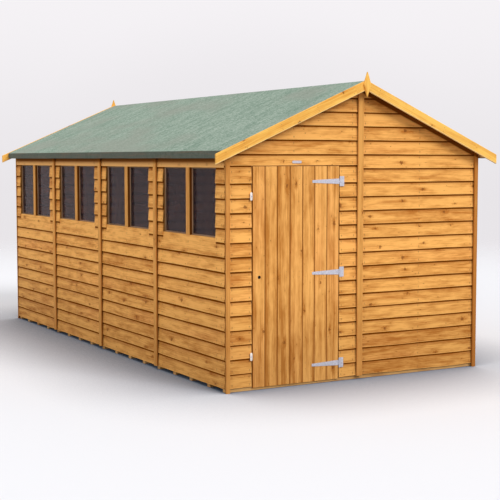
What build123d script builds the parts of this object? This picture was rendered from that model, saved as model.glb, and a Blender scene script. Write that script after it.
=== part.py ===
from build123d import *
import math
import os

# Wooden garden shed with a felted apex roof, built from panels one module wide.
# Millimetres. +Z is up, and the origin is on the ground at the centre of the floor.
# The door gable faces -Y, and the long wall with windows faces -X.

# Plan and panels
PANEL_WIDTH = 1200.0
SIDE_PANELS = 4
SHED_WIDTH = 2400.0
PANEL_GAP = 2.0
CLADDING_THICKNESS = 16.0
CLADDING_BOTTOM = 30.0

# Floor
BEARER_WIDTH = 50.0
BEARER_HEIGHT = 38.0
BEARERS_PER_PANEL = 4
DECK_THICKNESS = 12.0

# Wall framing
STUD_WIDTH = 38.0
STUD_DEPTH = 28.0
PLAIN_PANEL_BAYS = 3
WALL_HEIGHT = 1823.0

# Roof
ROOF_PITCH = 23.4
SHEET_THICKNESS = 11.0
FELT_THICKNESS = 3.0
EAVES_OVERHANG = 57.0
GABLE_OVERHANG = 81.0
FELT_DROP = 57.0
EAVES_BATTEN_WIDTH = 28.0
EAVES_BATTEN_HEIGHT = 34.0
PURLIN_WIDTH = 45.0
PURLIN_DEPTH = 28.0
PURLIN_DISTANCES = (110.0, 620.0)
RAFTER_WIDTH = 28.0
RAFTER_DEPTH = 58.0
TIE_DEPTH = 58.0
TIE_DROP = 250.0

# Bargeboards and finials
BARGE_HEIGHT = 70.0
BARGE_THICKNESS = 18.0
BARGE_RISE = 5.0
BARGE_OVERHANG = 65.0
FINIAL_WIDTH = 69.0
FINIAL_HEIGHT = 193.0
FINIAL_THICKNESS = 16.0
FINIAL_SHOULDER = 0.5
FINIAL_TOP_RISE = 63.0

# Cover strips over the panel joints and the corners
STRIP_WIDTH = 50.0
STRIP_THICKNESS = 18.0
CORNER_STRIP_WIDTH = 34.0
GABLE_STRIP_OFFSET = 8.0

# Windows in the long wall, one opening to each panel
FRONT_PIER_WIDTH = 160.0
REAR_PIER_WIDTH = 120.0
WINDOW_SILL = 1160.0
WINDOW_HEAD = 1688.0
GLASS_THICKNESS = 4.0
GLASS_SETBACK = 16.0
MULLION_WIDTH = 60.0

# Door in the left panel of the front gable, hinged on its right edge
DOOR_WIDTH = 780.0
DOOR_OFFSET = 25.0
DOOR_BOTTOM = 22.0
DOOR_TOP = 1698.0
DOOR_THICKNESS = 11.0
DOOR_GAP = 6.0
DOOR_STOP_OVERLAP = 15.0
LEDGE_HEIGHT = 95.0
LEDGE_THICKNESS = 20.0
LEDGE_CLEARANCE = 8.0
BRACE_WIDTH = 70.0
LEDGE_HEIGHTS = (150.0, 870.0, 1580.0)

# T-hinges
STRAP_LENGTH = 250.0
STRAP_ROOT_HEIGHT = 42.0
STRAP_TIP_HEIGHT = 20.0
HINGE_LEAF_THICKNESS = 3.0
KNUCKLE_RADIUS = 5.0
PIN_RADIUS = 2.5
PIN_CLEARANCE = 0.1
KNUCKLE_GAP = 0.6
KNUCKLE_CLEARANCE = 0.5
HINGE_PLATE_HEIGHT = 78.0
HINGE_PLATE_WIDTH = 34.0
HINGE_PIN_OFFSET = 5.0

# Turn buttons at the door's free edge
BUTTON_LENGTH = 62.0
BUTTON_WIDTH = 20.0
BUTTON_THICKNESS = 3.0
BUTTON_STANDOFF = 6.5
BUTTON_HEIGHTS = (262.0, 1473.0)
BUTTON_CLEARANCE = 5.0
SCREW_RADIUS = 2.5
SCREW_HEAD_RADIUS = 5.5
SCREW_HEAD_THICKNESS = 2.0
SCREW_COLLAR_RADIUS = 6.0
SCREW_CLEARANCE = 0.1
SCREW_END_PLAY = 0.3

# Key escutcheon on the door, and the small bare plate above it
KEY_INSET = 58.0
KEY_HEIGHT = 862.0
KEY_RADIUS = 12.0
KEY_HOLE_RADIUS = 5.0
KEY_THICKNESS = 3.0
BADGE_WIDTH = 82.0
BADGE_HEIGHT = 20.0
BADGE_THICKNESS = 2.5
BADGE_RISE = 32.0

# Length by which a cutting tool runs past the face that it cuts
CUT_MARGIN = 1.0

# Values that follow from the sizes above
LENGTH = SIDE_PANELS * PANEL_WIDTH
HALF_WIDTH = SHED_WIDTH / 2
HALF_LENGTH = LENGTH / 2
INNER_X = HALF_WIDTH - CLADDING_THICKNESS
INNER_Y = HALF_LENGTH - CLADDING_THICKNESS
FRAME_X = INNER_X - STUD_DEPTH
FRAME_Y = INNER_Y - STUD_DEPTH
FLOOR_TOP = BEARER_HEIGHT + DECK_THICKNESS
SLOPE = math.tan(math.radians(ROOF_PITCH))
COSINE = math.cos(math.radians(ROOF_PITCH))
EAVES_X = HALF_WIDTH + EAVES_OVERHANG
ROOF_Y = HALF_LENGTH + GABLE_OVERHANG
DOOR_MIDDLE = DOOR_OFFSET - HALF_WIDTH / 2
DOOR_LEFT = DOOR_MIDDLE - DOOR_WIDTH / 2
DOOR_RIGHT = DOOR_MIDDLE + DOOR_WIDTH / 2
DOOR_FACE = -HALF_LENGTH
DOOR_BACK = DOOR_FACE + DOOR_THICKNESS
DOOR_HEAD = DOOR_TOP + DOOR_GAP
JAMB_LEFT = DOOR_LEFT + DOOR_STOP_OVERLAP
JAMB_RIGHT = DOOR_RIGHT - DOOR_STOP_OVERLAP
LINTEL_BOTTOM = DOOR_TOP - DOOR_STOP_OVERLAP
CLADDING_LAYER = (0.0, CLADDING_THICKNESS)
FRAME_LAYER = (CLADDING_THICKNESS, CLADDING_THICKNESS + STUD_DEPTH)
GLASS_DEPTH = CLADDING_THICKNESS + GLASS_SETBACK
GLASS_LAYER = (GLASS_DEPTH, GLASS_DEPTH + GLASS_THICKNESS)
HINGE_X = DOOR_RIGHT + HINGE_PIN_OFFSET
HINGE_Y = DOOR_FACE - KNUCKLE_RADIUS - KNUCKLE_CLEARANCE


def block(low, high):
    """A box between two corners."""
    size = [b - a for a, b in zip(low, high)]
    return Pos(*low) * Box(*size, align=(Align.MIN, Align.MIN, Align.MIN))


def prism_y(points, y_low, y_high):
    """A shape drawn in X and Z, extruded along Y."""
    face = make_face(Polyline(*[(x, y_low, z) for x, z in points], close=True))
    return extrude(face, amount=y_high - y_low, dir=(0, 1, 0))


def disc_y(x, z, radius, y_low, y_high):
    """A round bar along Y."""
    middle = Pos(x, (y_low + y_high) / 2, z) * Rot(90, 0, 0)
    return middle * Cylinder(radius, y_high - y_low)


def disc_z(x, y, radius, z_low, z_high):
    """A round bar along Z."""
    return Pos(x, y, (z_low + z_high) / 2) * Cylinder(radius, z_high - z_low)


def save(name, *shapes):
    """Write the solids of one node."""
    solids = [solid for shape in shapes for solid in shape.solids()]
    node = solids[0] if len(solids) == 1 else Compound(children=solids)
    export_step(node, f"parts/{name}.step")


def roof_under(x):
    """Height of the roof sheet's underside at a distance from the ridge line."""
    return WALL_HEIGHT + (HALF_WIDTH - abs(x)) * SLOPE


def layer(x, depth):
    """Height of a line that lies square to the slope, above or below the sheet's underside."""
    return roof_under(x) + depth / COSINE


def slope_bar(side, x_low, x_high, depth_low, depth_high, y_low, y_high):
    """A bar that lies along one slope, cut plumb at both ends."""
    points = [
        (side * x_low, layer(x_low, depth_low)),
        (side * x_high, layer(x_high, depth_low)),
        (side * x_high, layer(x_high, depth_high)),
        (side * x_low, layer(x_low, depth_high)),
    ]
    return prism_y(points, y_low, y_high)


def panel_start(index):
    """Y of the joint at the front of one side panel."""
    return -HALF_LENGTH + index * PANEL_WIDTH


def panel_range(index):
    """Ends along Y of one side panel, which stops at the gable cladding."""
    start = panel_start(index)
    low = max(start + PANEL_GAP / 2, -INNER_Y)
    high = min(start + PANEL_WIDTH - PANEL_GAP / 2, INNER_Y)
    return low, high


def side_slab(side, depth_out, depth_in, y_low, y_high, z_low, z_high):
    """A slab of a long wall, measured inwards from the cladding's face."""
    near, far = sorted((side * (HALF_WIDTH - depth_out), side * (HALF_WIDTH - depth_in)))
    return block((near, y_low, z_low), (far, y_high, z_high))


def floor():
    """Bearers across the width, with the deck on them."""
    count = SIDE_PANELS * BEARERS_PER_PANEL
    bearers = []
    for index in range(count + 1):
        middle = -HALF_LENGTH + index * LENGTH / count
        edge = INNER_Y - BEARER_WIDTH / 2
        middle = max(-edge, min(edge, middle))
        low = (-INNER_X, middle - BEARER_WIDTH / 2, 0)
        bearers.append(block(low, (INNER_X, middle + BEARER_WIDTH / 2, BEARER_HEIGHT)))
    save("floor_bearers", *bearers)
    save("floor_deck", block((-INNER_X, -INNER_Y, BEARER_HEIGHT), (INNER_X, INNER_Y, FLOOR_TOP)))


def side_rails(side, low, high):
    """Bottom and top rail of one side panel."""
    top = roof_under(INNER_X)
    heights = ((FLOOR_TOP, FLOOR_TOP + STUD_WIDTH), (top - STUD_WIDTH, top))
    return [side_slab(side, *FRAME_LAYER, low, high, *span) for span in heights]


def side_studs(side, starts):
    """Posts of one side panel between its rails; each start is a post's lower Y."""
    span = (FLOOR_TOP + STUD_WIDTH, roof_under(INNER_X) - STUD_WIDTH)
    return [side_slab(side, *FRAME_LAYER, start, start + STUD_WIDTH, *span) for start in starts]


def side_walls():
    """Cladding, framing and glazing of the two long walls."""
    cladding, piers, plain, studs, rails, mullions, panes = [], [], [], [], [], [], []
    half_bar = MULLION_WIDTH / 2
    for index in range(SIDE_PANELS):
        low, high = panel_range(index)
        start = panel_start(index)
        left, right = start + FRONT_PIER_WIDTH, start + PANEL_WIDTH - REAR_PIER_WIDTH
        middle = (left + right) / 2
        window = (WINDOW_SILL, WINDOW_HEAD)
        cladding.append(side_slab(-1, *CLADDING_LAYER, low, high, CLADDING_BOTTOM, WINDOW_SILL))
        cladding.append(side_slab(-1, *CLADDING_LAYER, low, high, WINDOW_HEAD, WALL_HEIGHT))
        piers.append(side_slab(-1, *CLADDING_LAYER, low, left, *window))
        piers.append(side_slab(-1, *CLADDING_LAYER, right, high, *window))
        studs += side_studs(-1, (low, left - STUD_WIDTH, right, high - STUD_WIDTH))
        rails += side_rails(-1, low, high)
        for rail_low in (WINDOW_SILL - STUD_WIDTH, WINDOW_HEAD):
            rails.append(side_slab(-1, *FRAME_LAYER, left, right, rail_low, rail_low + STUD_WIDTH))
        bar = (middle - half_bar, middle + half_bar)
        mullions.append(side_slab(-1, 0, FRAME_LAYER[1], *bar, *window))
        panes.append(side_slab(-1, *GLASS_LAYER, left, bar[0], *window))
        panes.append(side_slab(-1, *GLASS_LAYER, bar[1], right, *window))
        plain.append(side_slab(1, *CLADDING_LAYER, low, high, CLADDING_BOTTOM, WALL_HEIGHT))
        bay = (high - low - STUD_WIDTH) / PLAIN_PANEL_BAYS
        studs += side_studs(1, [low + step * bay for step in range(PLAIN_PANEL_BAYS + 1)])
        rails += side_rails(1, low, high)
    save("window_wall_cladding", *cladding)
    save("window_wall_piers", *piers)
    save("window_mullions", *mullions)
    save("window_panes", *panes)
    save("plain_wall_cladding", *plain)
    save("side_wall_studs", *studs)
    save("side_wall_rails", *rails)


def gable_panel(x_low, x_high, z_low, y_low, y_high):
    """A gable slab whose top follows the roof, on one side of the ridge line."""
    points = [(x_low, z_low), (x_high, z_low)]
    points += [(x, roof_under(x)) for x in (x_high, x_low)]
    return prism_y(points, y_low, y_high)


def gable_posts(starts, z_low, y_low, y_high):
    """Posts under the sloping top rails; each start is a post's lower X."""
    posts = []
    for start in starts:
        end = start + STUD_WIDTH
        points = [(start, z_low), (end, z_low)]
        points += [(x, layer(x, -STUD_WIDTH)) for x in (end, start)]
        posts.append(prism_y(points, y_low, y_high))
    return posts


def gable_walls():
    """Cladding and framing of both gables, with the doorway in the front one."""
    joint = PANEL_GAP / 2
    front = (-HALF_LENGTH, -INNER_Y)
    rear = (INNER_Y, HALF_LENGTH)
    door_left, door_right = DOOR_LEFT - DOOR_GAP, DOOR_RIGHT + DOOR_GAP
    beside = (CLADDING_BOTTOM, DOOR_HEAD)
    left_of_door = block((-HALF_WIDTH, front[0], beside[0]), (door_left, front[1], beside[1]))
    right_of_door = block((door_right, front[0], beside[0]), (-joint, front[1], beside[1]))
    save("front_wall_left_of_door", left_of_door)
    save("front_wall_right_of_door", right_of_door)
    save("front_wall_over_door", gable_panel(-HALF_WIDTH, -joint, DOOR_HEAD, *front))
    save("front_wall_right_panel", gable_panel(joint, HALF_WIDTH, CLADDING_BOTTOM, *front))
    save("rear_wall_left_panel", gable_panel(-HALF_WIDTH, -joint, CLADDING_BOTTOM, *rear))
    save("rear_wall_right_panel", gable_panel(joint, HALF_WIDTH, CLADDING_BOTTOM, *rear))

    front, rear = (-INNER_Y, -FRAME_Y), (FRAME_Y, INNER_Y)
    low = FLOOR_TOP + STUD_WIDTH
    bay = (FRAME_X - STUD_WIDTH - joint) / PLAIN_PANEL_BAYS
    right = [joint + step * bay for step in range(PLAIN_PANEL_BAYS + 1)]
    left = [-start - STUD_WIDTH for start in right]
    jambs = [JAMB_LEFT - STUD_WIDTH, JAMB_RIGHT]
    posts = gable_posts(jambs, FLOOR_TOP, *front)
    posts += gable_posts([left[0], left[-1]] + right, low, *front)
    posts += gable_posts(left + right, low, *rear)
    save("gable_studs", *posts)

    rails = []
    for y_low, y_high in (front, rear):
        for side in (-1, 1):
            rails.append(slope_bar(side, joint, FRAME_X, -STUD_WIDTH, 0, y_low, y_high))
    spans = [(-FRAME_X, JAMB_LEFT - STUD_WIDTH), (JAMB_RIGHT + STUD_WIDTH, -joint), (joint, FRAME_X)]
    rails += [block((start, front[0], FLOOR_TOP), (end, front[1], low)) for start, end in spans]
    spans = [(-FRAME_X, -joint), (joint, FRAME_X)]
    rails += [block((start, rear[0], FLOOR_TOP), (end, rear[1], low)) for start, end in spans]
    lintel_top = LINTEL_BOTTOM + STUD_WIDTH
    rails.append(block((JAMB_LEFT, front[0], LINTEL_BOTTOM), (JAMB_RIGHT, front[1], lintel_top)))
    save("gable_rails", *rails)


def strips():
    """Cover strips on the panel joints, and a strip on each gable's outer edges."""
    bars = []
    top = roof_under(HALF_WIDTH + STRIP_THICKNESS)
    for side in (-1, 1):
        for index in range(1, SIDE_PANELS):
            low = panel_start(index) - STRIP_WIDTH / 2
            span = (low, low + STRIP_WIDTH, CLADDING_BOTTOM, top)
            bars.append(side_slab(side, -STRIP_THICKNESS, 0, *span))
    save("side_wall_strips", *bars)
    bars = []
    for face in (-1, 1):
        y_low, y_high = sorted((face * HALF_LENGTH, face * (HALF_LENGTH + STRIP_THICKNESS)))
        low = -face * GABLE_STRIP_OFFSET - STRIP_WIDTH / 2
        high = low + STRIP_WIDTH
        points = [(low, CLADDING_BOTTOM), (high, CLADDING_BOTTOM)]
        points += [(x, roof_under(x)) for x in (high, 0, low)]
        bars.append(prism_y(points, y_low, y_high))
        inner = HALF_WIDTH - CORNER_STRIP_WIDTH
        for side in (-1, 1):
            points = [(side * inner, 0), (side * HALF_WIDTH, 0)]
            points += [(side * x, roof_under(x)) for x in (HALF_WIDTH, inner)]
            bars.append(prism_y(points, y_low, y_high))
    save("gable_strips", *bars)


def roof():
    """Sheets and felt on both slopes, with battens, purlins and trusses below."""
    battens, purlins, folds = [], [], []
    outer = EAVES_X + FELT_THICKNESS
    felt_top = SHEET_THICKNESS + FELT_THICKNESS
    fold_low = layer(EAVES_X, felt_top) - FELT_DROP
    inner = EAVES_X - EAVES_BATTEN_WIDTH
    batten_low = roof_under(EAVES_X) - EAVES_BATTEN_HEIGHT
    for name, side in (("left", -1), ("right", 1)):
        sheet = slope_bar(side, 0, EAVES_X, 0, SHEET_THICKNESS, -ROOF_Y, ROOF_Y)
        save(f"roof_sheet_{name}", sheet)
        felt = slope_bar(side, 0, outer, SHEET_THICKNESS, felt_top, -ROOF_Y, ROOF_Y)
        save(f"roof_felt_{name}", felt)
        points = [(side * EAVES_X, fold_low), (side * outer, fold_low)]
        points += [(side * x, layer(x, SHEET_THICKNESS)) for x in (outer, EAVES_X)]
        folds.append(prism_y(points, -ROOF_Y, ROOF_Y))
        points = [(side * inner, batten_low), (side * EAVES_X, batten_low)]
        points += [(side * x, roof_under(x)) for x in (EAVES_X, inner)]
        battens.append(prism_y(points, -ROOF_Y, ROOF_Y))
        for distance in PURLIN_DISTANCES:
            start, end = distance * COSINE, (distance + PURLIN_WIDTH) * COSINE
            purlins.append(slope_bar(side, start, end, -PURLIN_DEPTH, 0, -FRAME_Y, FRAME_Y))
    save("roof_felt_folds", *folds)
    save("eaves_battens", *battens)
    save("roof_purlins", *purlins)


def trusses():
    """Rafters and a tie at each joint between side panels."""
    rafter_top, rafter_low = -PURLIN_DEPTH, -PURLIN_DEPTH - RAFTER_DEPTH
    middles = [panel_start(index) for index in range(1, SIDE_PANELS)]
    spans = [(middle - RAFTER_WIDTH / 2, middle + RAFTER_WIDTH / 2) for middle in middles]
    for name, side in (("left", -1), ("right", 1)):
        bars = [slope_bar(side, 0, FRAME_X, rafter_low, rafter_top, *span) for span in spans]
        save(f"truss_rafters_{name}", *bars)
    peak = layer(0, rafter_low)
    outline = []
    for drop in (TIE_DROP + TIE_DEPTH, TIE_DROP):
        outline.append((-drop / SLOPE, peak - drop))
        outline.append((drop / SLOPE, peak - drop))
    outline[2:] = reversed(outline[2:])
    save("truss_ties", *[prism_y(outline, *span) for span in spans])


def bargeboards():
    """A board on each slope of each gable, and a diamond finial over each joint."""
    top = SHEET_THICKNESS + FELT_THICKNESS + BARGE_RISE
    outer = EAVES_X + FELT_THICKNESS + BARGE_OVERHANG
    for name, face in (("front", -1), ("rear", 1)):
        y_low, y_high = sorted((face * ROOF_Y, face * (ROOF_Y + BARGE_THICKNESS)))
        for hand, side in (("left", -1), ("right", 1)):
            board = slope_bar(side, 0, outer, top - BARGE_HEIGHT, top, y_low, y_high)
            save(f"bargeboard_{name}_{hand}", board)
        peak = layer(0, top) + FINIAL_TOP_RISE
        shoulder = peak - FINIAL_SHOULDER * FINIAL_HEIGHT
        half = FINIAL_WIDTH / 2
        outline = [(0, peak), (half, shoulder), (0, peak - FINIAL_HEIGHT), (-half, shoulder)]
        seat = ROOF_Y + BARGE_THICKNESS
        y_low, y_high = sorted((face * seat, face * (seat + FINIAL_THICKNESS)))
        save(f"finial_{name}", prism_y(outline, y_low, y_high))


def door():
    """Boarded leaf with ledges and braces behind it."""
    leaf = block((DOOR_LEFT, DOOR_FACE, DOOR_BOTTOM), (DOOR_RIGHT, DOOR_BACK, DOOR_TOP))
    save("door_leaf", leaf)
    x_low, x_high = JAMB_LEFT + LEDGE_CLEARANCE, JAMB_RIGHT - LEDGE_CLEARANCE
    y_low, y_high = DOOR_BACK, DOOR_BACK + LEDGE_THICKNESS
    half = LEDGE_HEIGHT / 2
    ledges = [block((x_low, y_low, z - half), (x_high, y_high, z + half)) for z in LEDGE_HEIGHTS]
    save("door_ledges", *ledges)
    braces = []
    for low, high in zip(LEDGE_HEIGHTS, LEDGE_HEIGHTS[1:]):
        bottom, top = low + half, high - half
        outline = [(x_high - BRACE_WIDTH, bottom), (x_high, bottom)]
        outline += [(x_low + BRACE_WIDTH, top), (x_low, top)]
        braces.append(prism_y(outline, y_low, y_high))
    save("door_braces", *braces)


def hinges():
    """Three T-hinges: the strap turns with the door, the plate and pin stay on the wall."""
    straps, plates = [], []
    third = HINGE_PLATE_HEIGHT / 3
    face = DOOR_FACE - HINGE_LEAF_THICKNESS
    plate_start = HINGE_X + KNUCKLE_RADIUS + KNUCKLE_GAP
    for height in LEDGE_HEIGHTS:
        half_root, half_tip = STRAP_ROOT_HEIGHT / 2, STRAP_TIP_HEIGHT / 2
        knuckle_half = third / 2 - KNUCKLE_GAP / 2
        tip = DOOR_RIGHT - STRAP_LENGTH
        root = HINGE_X - KNUCKLE_RADIUS - KNUCKLE_GAP
        outline = [
            (root, height - half_root),
            (root, height + half_root),
            (tip, height + half_tip),
            (tip, height - half_tip),
        ]
        strap = prism_y(outline, face, DOOR_FACE)
        tongue = block((root, face, height - knuckle_half), (HINGE_X, DOOR_FACE, height + knuckle_half))
        knuckle = disc_z(HINGE_X, HINGE_Y, KNUCKLE_RADIUS, height - knuckle_half, height + knuckle_half)
        bore = disc_z(HINGE_X, HINGE_Y, PIN_RADIUS + PIN_CLEARANCE, height - third, height + third)
        straps.append((strap + tongue + knuckle) - bore)
        low, high = height - HINGE_PLATE_HEIGHT / 2, height + HINGE_PLATE_HEIGHT / 2
        plate = block((plate_start, face, low), (plate_start + HINGE_PLATE_WIDTH, DOOR_FACE, high))
        pin = disc_z(HINGE_X, HINGE_Y, PIN_RADIUS, low, high)
        for z_low, z_high in ((low, low + third - KNUCKLE_GAP / 2), (high - third + KNUCKLE_GAP / 2, high)):
            plate += block((HINGE_X, face, z_low), (plate_start, DOOR_FACE, z_high))
            plate += disc_z(HINGE_X, HINGE_Y, KNUCKLE_RADIUS, z_low, z_high)
        plates.append(plate + pin)
    save("hinge_straps", *straps)
    save("hinge_plates", *plates)


def turn_buttons():
    """A flat button on a collared screw beside the door, above and below."""
    x = DOOR_LEFT - BUTTON_CLEARANCE - BUTTON_WIDTH / 2
    back = DOOR_FACE - BUTTON_STANDOFF
    front = back - BUTTON_THICKNESS
    cut = (front - CUT_MARGIN, back + CUT_MARGIN)
    screws = []
    for name, height in zip(("lower", "upper"), BUTTON_HEIGHTS):
        half_length, half_width = BUTTON_LENGTH / 2, BUTTON_WIDTH / 2
        low = (x - half_width, front, height - half_length)
        bar = block(low, (x + half_width, back, height + half_length))
        hole = disc_y(x, height, SCREW_RADIUS + SCREW_CLEARANCE, *cut)
        save(f"turn_button_{name}", bar - hole)
        collar = disc_y(x, height, SCREW_COLLAR_RADIUS, back + SCREW_END_PLAY, DOOR_FACE)
        shank = disc_y(x, height, SCREW_RADIUS, front - SCREW_END_PLAY, back + SCREW_END_PLAY)
        head_front = front - SCREW_END_PLAY - SCREW_HEAD_THICKNESS
        head = disc_y(x, height, SCREW_HEAD_RADIUS, head_front, front - SCREW_END_PLAY)
        screws.append(collar + shank + head)
    save("turn_button_screws", *screws)


def small_fittings():
    """Key escutcheon on the door and the bare plate above the door."""
    x = DOOR_LEFT + KEY_INSET
    front = DOOR_FACE - KEY_THICKNESS
    ring = disc_y(x, KEY_HEIGHT, KEY_RADIUS, front, DOOR_FACE)
    save("key_escutcheon", ring - disc_y(x, KEY_HEIGHT, KEY_HOLE_RADIUS, front, DOOR_FACE))
    half_width, half_height = BADGE_WIDTH / 2, BADGE_HEIGHT / 2
    middle = DOOR_TOP + BADGE_RISE
    low = (DOOR_MIDDLE - half_width, DOOR_FACE - BADGE_THICKNESS, middle - half_height)
    high = (DOOR_MIDDLE + half_width, DOOR_FACE, middle + half_height)
    save("bare_plate", block(low, high))


os.makedirs("parts", exist_ok=True)
floor()
side_walls()
gable_walls()
strips()
roof()
trusses()
bargeboards()
door()
hinges()
turn_buttons()
small_fittings()
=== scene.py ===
import math
import random

import bmesh
import bpy
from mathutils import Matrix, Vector, noise


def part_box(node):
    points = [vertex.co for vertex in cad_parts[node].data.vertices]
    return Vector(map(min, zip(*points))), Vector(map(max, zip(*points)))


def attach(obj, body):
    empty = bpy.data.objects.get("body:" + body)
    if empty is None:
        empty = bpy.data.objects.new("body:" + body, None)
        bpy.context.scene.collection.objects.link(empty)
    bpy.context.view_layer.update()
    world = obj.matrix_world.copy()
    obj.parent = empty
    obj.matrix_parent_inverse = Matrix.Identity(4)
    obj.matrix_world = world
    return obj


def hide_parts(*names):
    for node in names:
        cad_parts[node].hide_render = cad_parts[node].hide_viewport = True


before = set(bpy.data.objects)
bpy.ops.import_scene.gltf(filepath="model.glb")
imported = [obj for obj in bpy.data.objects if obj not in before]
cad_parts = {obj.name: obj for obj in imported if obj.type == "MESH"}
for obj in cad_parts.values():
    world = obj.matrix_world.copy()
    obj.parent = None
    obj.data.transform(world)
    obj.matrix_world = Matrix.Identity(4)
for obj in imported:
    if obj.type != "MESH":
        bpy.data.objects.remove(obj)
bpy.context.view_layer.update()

rng = random.Random(23)

# Wall and roof lines read from the frame, in metres
PLAIN_LOW, PLAIN_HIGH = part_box("plain_wall_cladding")
GABLE_LOW, GABLE_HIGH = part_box("front_wall_right_panel")
HALF_WIDTH = PLAIN_HIGH.x
INNER_X = PLAIN_LOW.x
INNER_Y = PLAIN_HIGH.y
CLADDING_BOTTOM = PLAIN_LOW.z
WALL_HEIGHT = PLAIN_HIGH.z
HALF_LENGTH = -GABLE_LOW.y
JOINT = GABLE_LOW.x
SILL, HEAD = [corner.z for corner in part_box("window_wall_piers")]
DOOR_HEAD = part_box("front_wall_over_door")[0].z
DOOR_LOW, DOOR_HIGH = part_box("door_leaf")
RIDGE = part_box("roof_sheet_right")[1].z
FELT_OUTER, ROOF_Y, FELT_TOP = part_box("roof_felt_right")[1]
FOLD_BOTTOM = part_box("roof_felt_folds")[0].z
BARGE_LOW, BARGE_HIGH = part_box("bargeboard_front_right")
FINIAL_LOW, FINIAL_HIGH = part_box("finial_front")
DECK_LOW, DECK_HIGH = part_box("floor_deck")
PANES_LOW, PANES_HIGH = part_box("window_panes")
SLOPE = (GABLE_HIGH.z - WALL_HEIGHT) / (HALF_WIDTH - JOINT)
PITCH = math.atan(SLOPE)
BARGE_DROP = BARGE_HIGH.z - BARGE_LOW.z - BARGE_HIGH.x * SLOPE
FRONT_PIER = PANES_LOW.y + HALF_LENGTH
REAR_PIER = HALF_LENGTH - PANES_HIGH.y
GLASS_DEPTH = HALF_WIDTH + PANES_LOW.x

# Boards and fittings: sizes and places in metres, and counts
PANEL = 1.2
PANELS = 4
LAP = 0.110
OVERLAP = 0.015
HEAD_OVERLAP = 0.007
BOARD_THICKNESS = 0.0065
BOARD_LEAN = 0.0093
STRIP_WIDTH = 0.050
STRIP_THICKNESS = 0.018
CORNER_STRIP_WIDTH = 0.034
GABLE_STRIP_OFFSET = 0.008
DOOR_SEAMS = (-0.856, -0.747, -0.634, -0.521, -0.412, -0.298)
DECK_BOARDS = 20
BEARER = 0.050
BEARERS = 17
FELT = 0.003
NAIL_RADIUS = 0.0028
NAIL_LIFTS = (0.024, 0.088)
BEAD_WIDTH = 0.010
BEAD_DEPTH = 0.008
LEDGE_HALF = 0.0475
PLATE_HALF = 0.039
MIDDLE_LEDGE = 0.87
BRACE = 0.070
STRAP = 0.003
SCREW_RADIUS = 0.0042
SCREW_HEIGHT = 0.0022

# Nails: how far from a long wall's panel end, an opening, a gable panel's edge, and the joint
# beside the door
PANEL_NAIL = 0.042
OPENING_NAIL = 0.02
GABLE_NAIL = 0.06
JOINT_NAIL = 0.045

# Nails down a bargeboard from the peak, and how many hold each fold of felt. Screws along a strap
# from the door's edge, and up a plate from its middle
BARGE_NAILS = (0.12, 0.47, 0.82, 1.17)
FELT_NAILS = 52
STRAP_SCREWS = (0.03, 0.1, 0.17, 0.225)
PLATE_SCREWS = (-0.026, 0.0, 0.026)

# The share of a finial's height that is above its widest place
FINIAL_SHOULDER = 0.5

# How far a board's lower edge wanders: most, beside the door, a gable's lowest, a side's highest
EDGE = 0.0018
DOOR_SIDE_EDGE = 0.002
LOWEST_EDGE = 0.005
HEADER_EDGE = 0.0008

# Lines of painted shade in laps, grooves and recesses and under the roof: how far each reaches, and the
# length it fades over
GABLE_LAP_SHADE = (0.0125, 0.005)
SIDE_LAP_SHADE = (0.0145, 0.006)
EAVES_SHADE = (0.032, 0.028)
LEFT_BARGE_SHADE = (0.006, 0.014)
RIGHT_BARGE_SHADE = (0.004, 0.008)
STRIP_SIDE_SHADE = (0.006, 0.006)
BAR_SIDE_SHADE = (0.026, 0.005)
GROOVE_SHADE = (0.0026, 0.0016)

# Wood clear of painted light: its height above an edge, past the painted highlight, and how clear it is of
# the painted shade of a lap and of the roof
NO_PAINTED_LIGHT = (1.0, 30.0, 30.0)


def roof_under(x):
    """Height of the roof sheet's underside at a distance from the ridge line."""
    return WALL_HEIGHT + (HALF_WIDTH - abs(x)) * SLOPE


def barge_under(x):
    """Height of the bargeboards' lower edge at a distance from the ridge line."""
    return BARGE_HIGH.z - BARGE_DROP - abs(x) * SLOPE


def shade_clearance(distance, reach, fade):
    """How clear of a line of painted shade a point is: 1 at the line's edge, less inside it, more outside.
    """
    return min(NO_PAINTED_LIGHT[1], 1 + (distance - reach) / fade)


def wave(position, seed, length, size):
    """A smooth wander along a board, never more than its size either way."""
    return size * max(-1.0, min(1.0, 1.6 * noise.noise(Vector((position / length, seed, 0.5)))))


def by_place(value):
    """A function of place, made from one value unless it is a function already."""
    return value if callable(value) else lambda place: value


def add(name, data):
    """Put a mesh, lamp or camera in the scene."""
    made = bpy.data.objects.new(name, data)
    bpy.context.scene.collection.objects.link(made)
    return made


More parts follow.
